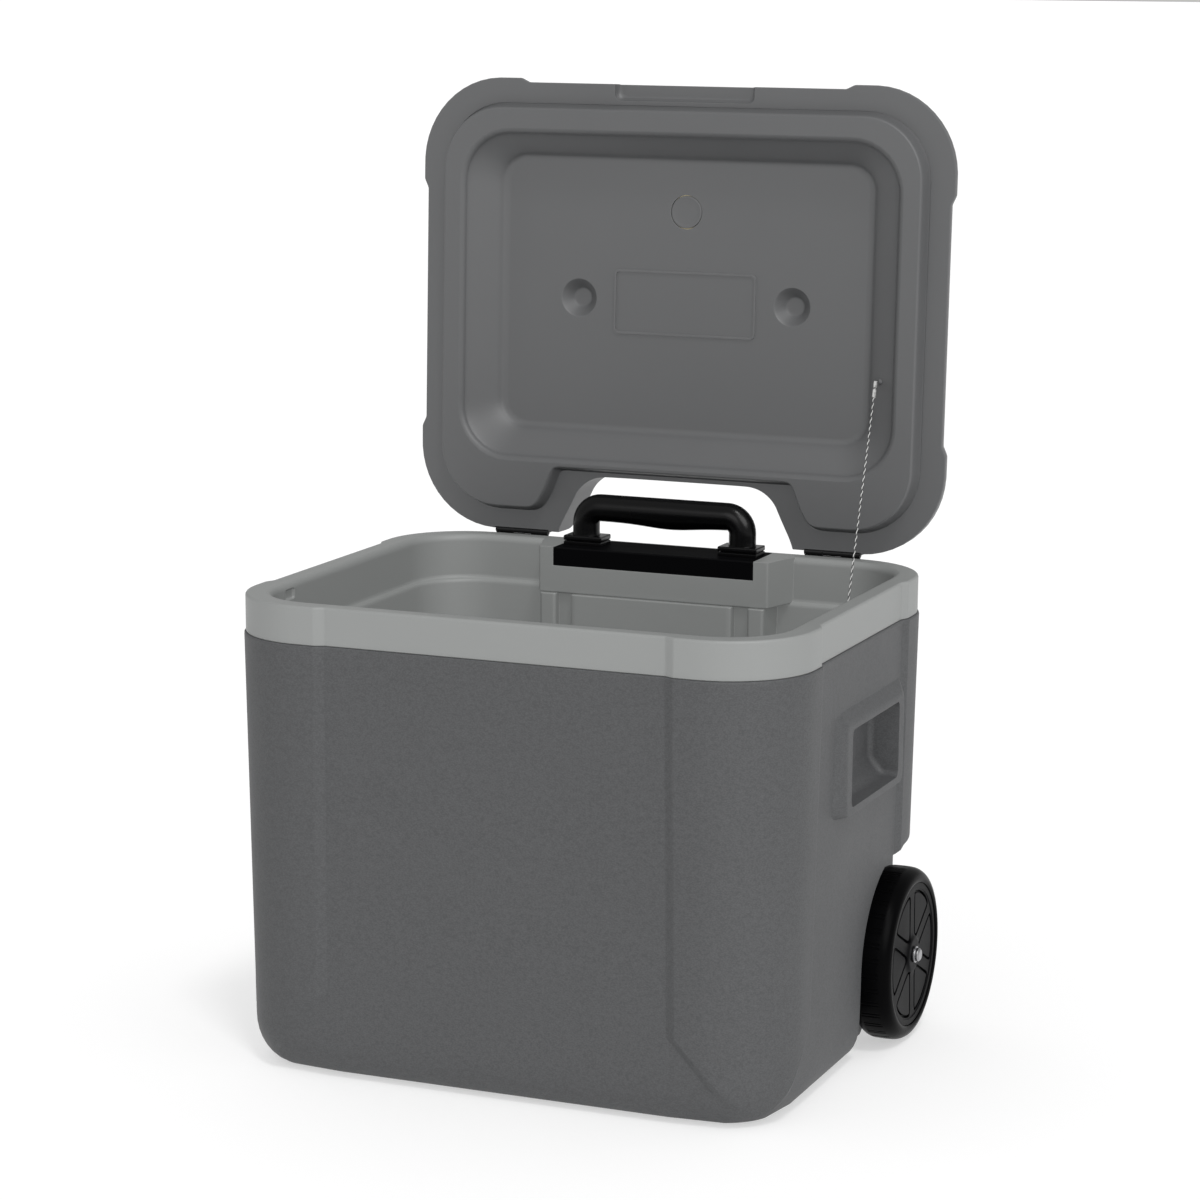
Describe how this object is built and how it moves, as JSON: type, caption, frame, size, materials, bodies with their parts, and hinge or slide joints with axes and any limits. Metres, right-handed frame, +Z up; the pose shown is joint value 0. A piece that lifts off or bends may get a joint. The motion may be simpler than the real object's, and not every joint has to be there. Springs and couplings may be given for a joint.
{
  "type": "wheeled cooler",
  "caption": "Insulated picnic cooler with a hinged lid held open by a stay cord, a telescopic pull handle in the rear wall, side hand pockets and rear wheels.",
  "frame": {"origin": "on the ground, at the middle of the body's width and depth", "axes": "+X to the right seen from the front, -Y to the front, +Z up"},
  "size_m": [0.5816, 0.4967, 0.8805],
  "materials": {
    "shell_plastic": "fine leather grain",
    "liner_plastic": "satin",
    "lid_plastic": "satin",
    "foam": "open cell foam",
    "black_gloss": "polished",
    "black_plastic": "fine texture",
    "tyre_plastic": "satin",
    "steel": "zinc plated",
    "black_steel": "black coated",
    "cord": "twisted cord"
  },
  "bodies": {
    "cooler": {"outer_shell": "shell_plastic", "foam_insulation": "foam", "liner": "liner_plastic", "handle_bezel": "black_gloss", "guide_sleeve_left": "black_plastic", "guide_sleeve_right": "black_plastic", "sleeve_base": "black_plastic", "axle": "steel", "axle_spacer_left": "black_plastic", "axle_spacer_right": "black_plastic", "push_nut_left": "steel", "push_nut_right": "steel", "hinge_leaf_body_left": "black_steel", "hinge_leaf_body_right": "black_steel", "hinge_pin_left": "black_steel", "hinge_pin_right": "black_steel", "hinge_screws_body": "black_steel", "lid_stay_cord": "cord", "lid_stay_eye": "black_plastic"},
    "lid": {"lid_shell": "lid_plastic", "lid_panel": "lid_plastic", "lid_foam": "foam", "lid_fill_plug": "lid_plastic", "lid_stay_anchor": "black_plastic", "hinge_leaf_lid_left": "black_steel", "hinge_leaf_lid_right": "black_steel", "hinge_screws_lid": "black_steel"},
    "handle_middle": {"mid_tube_left": "steel", "mid_tube_right": "steel", "mid_collar_left": "black_gloss", "mid_collar_right": "black_gloss", "mid_glide_left": "black_plastic", "mid_glide_right": "black_plastic"},
    "handle": {"grip": "black_gloss", "inner_tube_left": "steel", "inner_tube_right": "steel", "inner_glide_left": "black_plastic", "inner_glide_right": "black_plastic"},
    "wheel_left": {"wheel_hub_left": "black_plastic", "tyre_left": "tyre_plastic"},
    "wheel_right": {"wheel_hub_right": "black_plastic", "tyre_right": "tyre_plastic"}
  },
  "joints": [
    {"name": "lid_hinge", "type": "hinge", "parent": "cooler", "child": "lid", "pos_m": [0, 0.22, 0.4402], "axis": [1, 0, 0], "range_deg": [0, 92], "deforming": ["lid_stay_cord"]},
    {"name": "handle_stage_1", "type": "slide", "parent": "cooler", "child": "handle_middle", "axis": [0, 0, 1], "range_m": [0, 0.27]},
    {"name": "handle_stage_2", "type": "slide", "parent": "handle_middle", "child": "handle", "axis": [0, 0, 1], "range_m": [0, 0.27]},
    {"name": "wheel_left_spin", "type": "hinge", "parent": "cooler", "child": "wheel_left", "pos_m": [-0.266, 0.121, 0.082], "axis": [1, 0, 0], "continuous": true},
    {"name": "wheel_right_spin", "type": "hinge", "parent": "cooler", "child": "wheel_right", "pos_m": [0.266, 0.121, 0.082], "axis": [1, 0, 0], "continuous": true}
  ]
}
